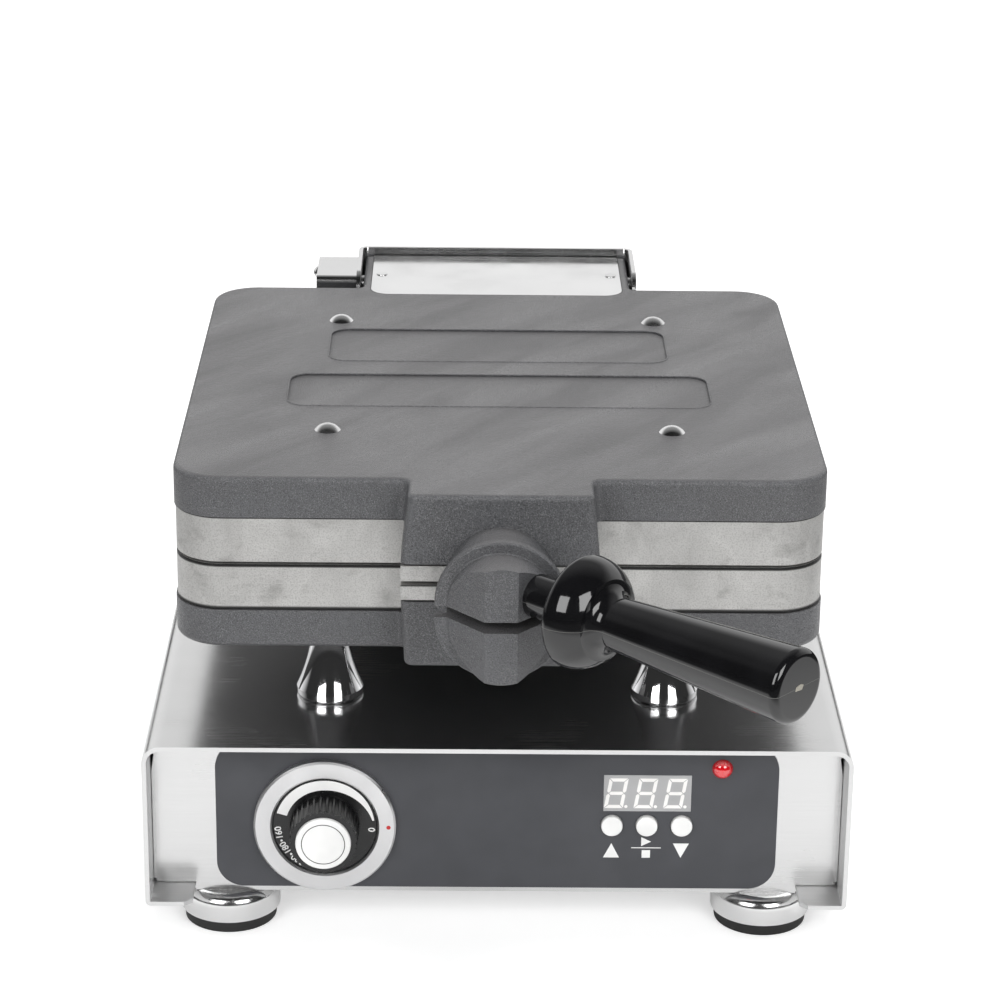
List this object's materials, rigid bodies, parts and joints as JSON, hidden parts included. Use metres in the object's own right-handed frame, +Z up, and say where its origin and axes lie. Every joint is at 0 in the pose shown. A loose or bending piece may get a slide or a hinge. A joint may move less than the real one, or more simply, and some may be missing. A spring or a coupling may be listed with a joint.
{
  "type": "waffle cone maker",
  "caption": "Table-top waffle cone maker: hinged square cast baking plates with an angled handle, on chrome legs over a folded steel base with thermostat dial and timer panel.",
  "frame": {"origin": "bottom centre of the bounding box, on the floor under the rubber feet", "axes": "+X to the right seen from the front, +Y from the handle back to the hinge, +Z up"},
  "size_m": [0.305, 0.5002, 0.217],
  "materials": {
    "stainless": "fine horizontal brushing",
    "cast_paint": "charcoal cast paint with a fine sparkle",
    "cast_plate": "cast and machined, dull",
    "chrome": "mirror",
    "polished_steel": "polished",
    "black_rubber": "matt",
    "bakelite": "glossy moulded",
    "overlay": "matt charcoal film",
    "bezel": "satin",
    "dial_black": "matt black",
    "white_plastic": "satin",
    "button_plastic": "satin",
    "lamp_red": "clear red",
    "display_grey": "smoked",
    "black_plastic": "matt",
    "circuit_board": "satin",
    "ceramic": "glazed",
    "element": "dark oxide",
    "steel_hardware": "zinc plated"
  },
  "bodies": {
    "base": {"base_pan": "stainless", "base_shell": "stainless", "board_standoffs": "steel_hardware", "bracket_screws": "steel_hardware", "button_switches": "black_plastic", "cable_gland": "black_plastic", "control_overlay": "overlay", "dial_bezel": "bezel", "display_lens": "display_grey", "display_module": "black_plastic", "duct_screw": "steel_hardware", "foot_cup_front_left": "polished_steel", "foot_cup_front_right": "polished_steel", "foot_cup_rear_left": "polished_steel", "foot_cup_rear_right": "polished_steel", "foot_pad_front_left": "black_rubber", "foot_pad_front_right": "black_rubber", "foot_pad_rear_left": "black_rubber", "foot_pad_rear_right": "black_rubber", "foot_screws": "steel_hardware", "front_panel": "stainless", "hinge_bracket": "stainless", "hinge_pin": "steel_hardware", "leg_studs": "steel_hardware", "lid_stop_bar": "steel_hardware", "lower_case": "cast_paint", "lower_case_screws": "steel_hardware", "lower_heater": "element", "lower_plate": "cast_plate", "pan_screws": "steel_hardware", "pilot_lamp": "lamp_red", "rear_panel": "stainless", "support_leg_front_left": "chrome", "support_leg_front_right": "chrome", "support_leg_rear_left": "chrome", "support_leg_rear_right": "chrome", "terminal_block": "ceramic", "thermostat_body": "black_plastic", "timer_board": "circuit_board", "wire_duct": "stainless"},
    "lid": {"upper_case": "cast_paint", "upper_plate": "cast_plate", "upper_heater": "element", "lid_screws": "steel_hardware", "rear_cover": "polished_steel", "rear_cover_screws": "steel_hardware", "handle_rod": "steel_hardware", "handle_grip": "bakelite"},
    "dial": {"dial_knob": "dial_black", "dial_cap": "white_plastic", "dial_shaft": "steel_hardware"},
    "button_up": {"button_up": "button_plastic"},
    "button_start": {"button_start": "button_plastic"},
    "button_down": {"button_down": "button_plastic"}
  },
  "joints": [
    {"name": "lid_hinge", "type": "hinge", "parent": "base", "child": "lid", "pos_m": [0, 0.21008, 0.206], "axis": [-1, 0, 0], "range_deg": [0, 95]},
    {"name": "dial_turn", "type": "hinge", "parent": "base", "child": "dial", "pos_m": [-0.075, -0.08742, 0.0505], "axis": [0, 1, 0], "range_deg": [0, 284]},
    {"name": "button_up_press", "type": "slide", "parent": "base", "child": "button_up", "axis": [0, 1, 0], "range_m": [0, 0.0008], "stiffness_N_per_m": 800},
    {"name": "button_start_press", "type": "slide", "parent": "base", "child": "button_start", "axis": [0, 1, 0], "range_m": [0, 0.0008], "stiffness_N_per_m": 800},
    {"name": "button_down_press", "type": "slide", "parent": "base", "child": "button_down", "axis": [0, 1, 0], "range_m": [0, 0.0008], "stiffness_N_per_m": 800}
  ]
}
